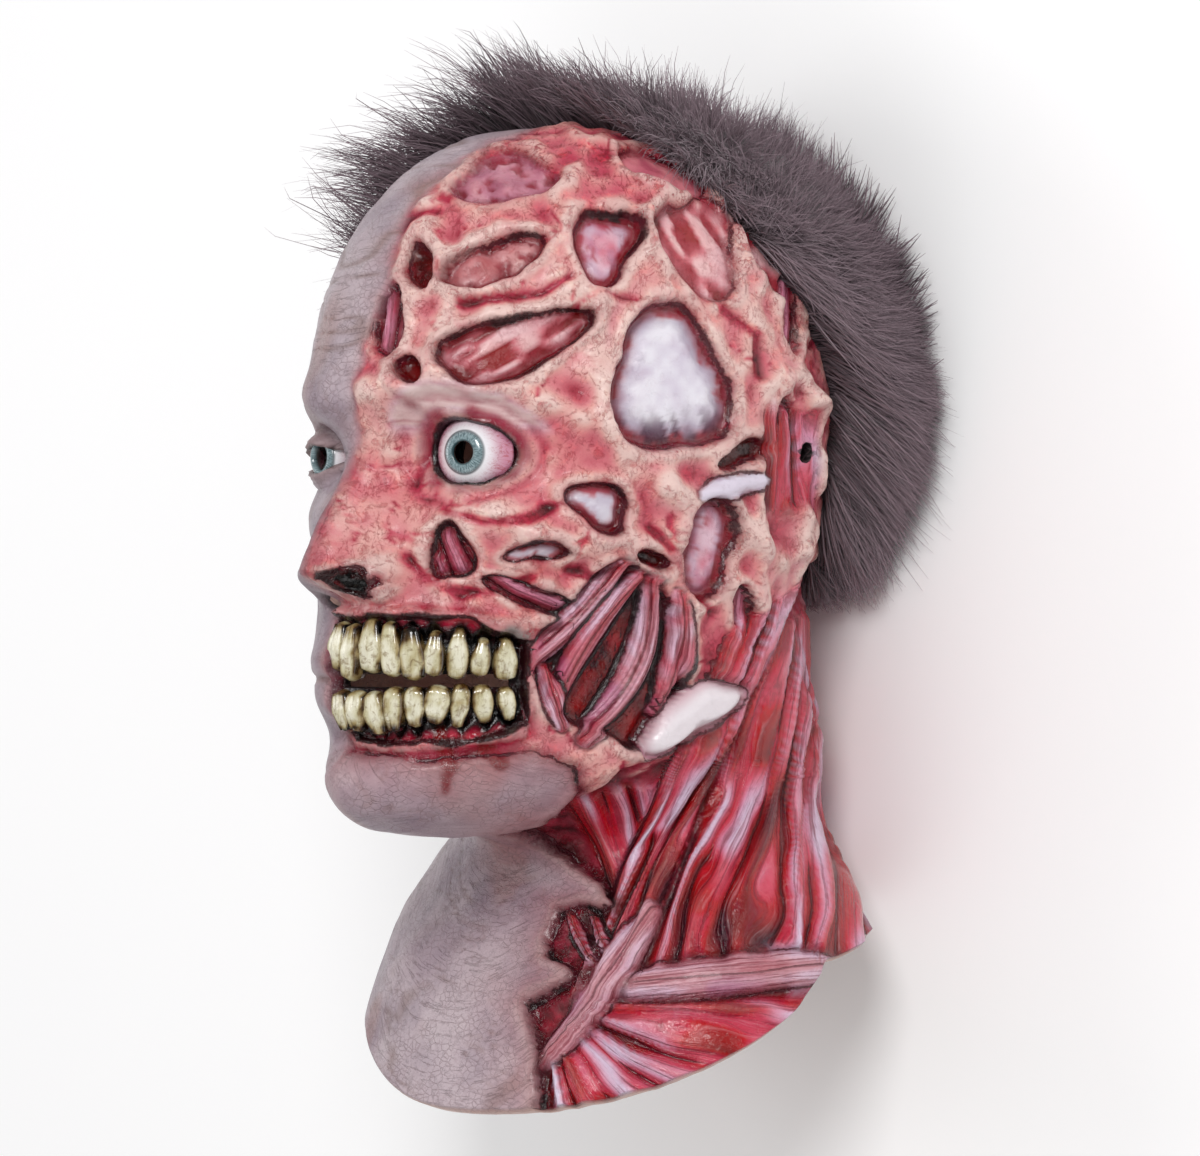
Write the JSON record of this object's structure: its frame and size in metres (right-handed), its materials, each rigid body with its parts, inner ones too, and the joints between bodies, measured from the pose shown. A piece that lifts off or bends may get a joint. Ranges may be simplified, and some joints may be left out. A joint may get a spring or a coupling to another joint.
{
  "type": "zombie mask",
  "caption": "Full-head latex zombie mask with a chest bib, its left side flayed to the muscle and its right side grey skin, with bared teeth, staring eyes and a ruff of fur behind.",
  "frame": {"origin": "on the flat back of the hairpiece, where the mask lies, level with the middle of the head", "axes": "+X towards the wearer's left, the flayed side; +Y towards the crown; +Z the way the face looks, straight up as the mask lies on its back"},
  "size_m": [0.235, 0.4192, 0.2558],
  "materials": {
    "painted_latex": "painted latex, satin with glossy wet patches",
    "fur": "matt long-pile faux fur"
  },
  "bodies": {
    "root": {"mask_shell": "painted_latex", "hairpiece": "fur"}
  },
  "joints": []
}
